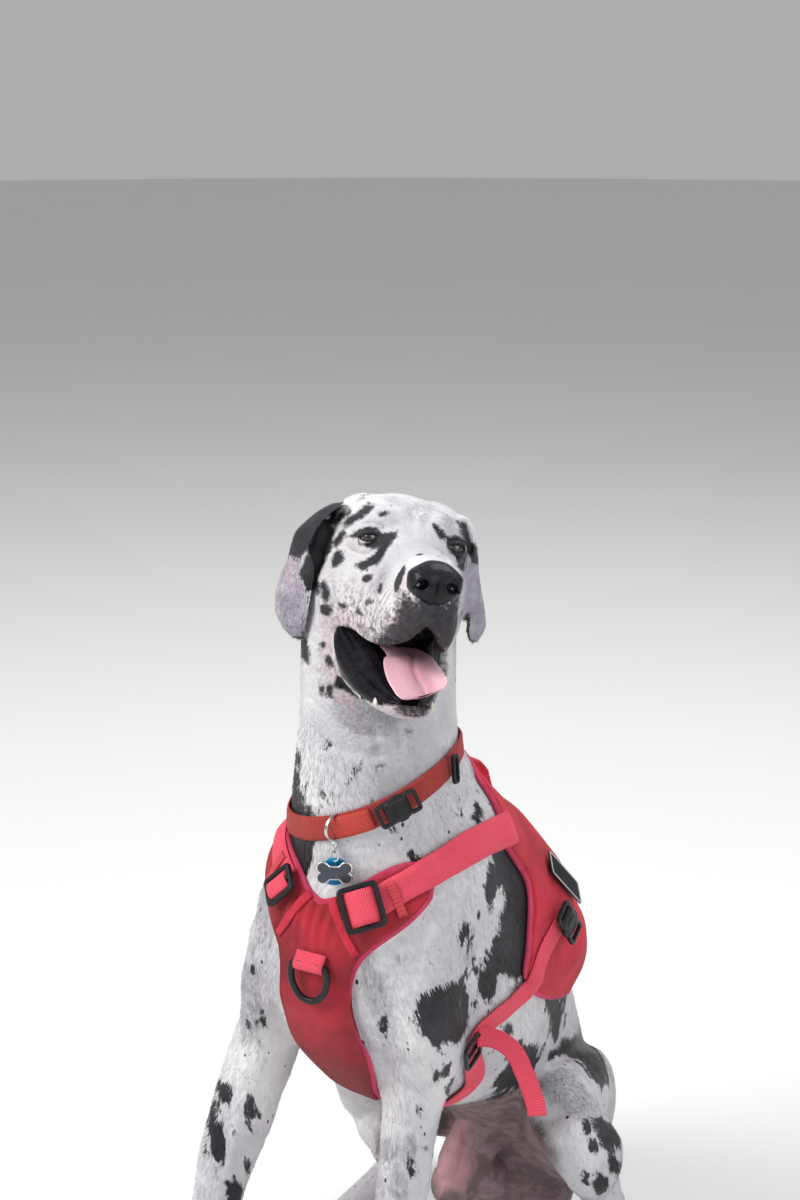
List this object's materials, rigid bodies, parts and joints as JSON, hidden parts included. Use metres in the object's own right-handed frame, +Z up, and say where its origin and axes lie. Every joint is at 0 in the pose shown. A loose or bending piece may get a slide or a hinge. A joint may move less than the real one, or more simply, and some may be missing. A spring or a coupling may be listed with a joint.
{
  "type": "seated dog",
  "caption": "Large seated dog of the great dane breed, life size: head turned, mouth open, tail on the floor, wearing a webbing collar with tags and a padded walking harness.",
  "frame": {"origin": "middle of the model's outline seen from above, on the floor it sits on", "axes": "+Z up; the dog faces -Y and its left side is +X, with the head turned towards its left"},
  "size_m": [0.5954, 0.9524, 1.1032],
  "materials": {
    "coat": "short close hair, white with torn black patches, grey flecks and pinkish bare skin",
    "ear_dark": "short soft hair, black at the root, lilac grey with dark spots at the tip",
    "ear_grey": "short soft hair, grey and white with darker flecks",
    "nose_leather": "pebbled, moist, satin",
    "eye": "wet gloss over a brown iris",
    "tongue": "wet, finely velvety",
    "collar_web": "ribbed orange-red webbing",
    "harness_cloth": "crimson woven cloth over padding, stitched and bound",
    "harness_web": "ribbed coral-red webbing",
    "black_plastic": "moulded, satin",
    "steel": "polished wire",
    "tag_dark": "dark enamel, satin, bare of text",
    "tag_blue": "blue enamel, satin, bare of text",
    "patch": "grey woven cloth, bare of lettering"
  },
  "bodies": {
    "root": {"back_handle": "harness_cloth", "back_panel": "harness_cloth", "back_patch": "patch", "chest_panel": "harness_cloth", "chest_ring": "black_plastic", "chest_ring_loop": "harness_web", "chest_slider_left": "black_plastic", "chest_slider_right": "black_plastic", "collar_band": "collar_web", "collar_buckle": "black_plastic", "collar_ring": "steel", "collar_slider": "black_plastic", "ear_left": "ear_grey", "ear_right": "ear_dark", "eye_left": "eye", "eye_right": "eye", "foreleg_left": "coat", "foreleg_right": "coat", "forepaw_left": "coat", "forepaw_right": "coat", "girth_slider_left": "black_plastic", "girth_slider_right": "black_plastic", "girth_strap_left": "harness_web", "girth_strap_right": "harness_web", "head": "coat", "hindpaw_left": "coat", "hindpaw_right": "coat", "id_tag": "tag_dark", "lower_jaw": "coat", "neck": "coat", "nose": "nose_leather", "shank_left": "coat", "shank_right": "coat", "shoulder_strap_left": "harness_web", "shoulder_strap_right": "harness_web", "side_buckle_left": "black_plastic", "side_buckle_right": "black_plastic", "spine_strap": "harness_web", "strap_end": "harness_web", "tag_back": "tag_blue", "tag_link": "steel", "tail": "coat", "thigh_left": "coat", "thigh_right": "coat", "tongue": "tongue", "torso": "coat"}
  },
  "joints": []
}
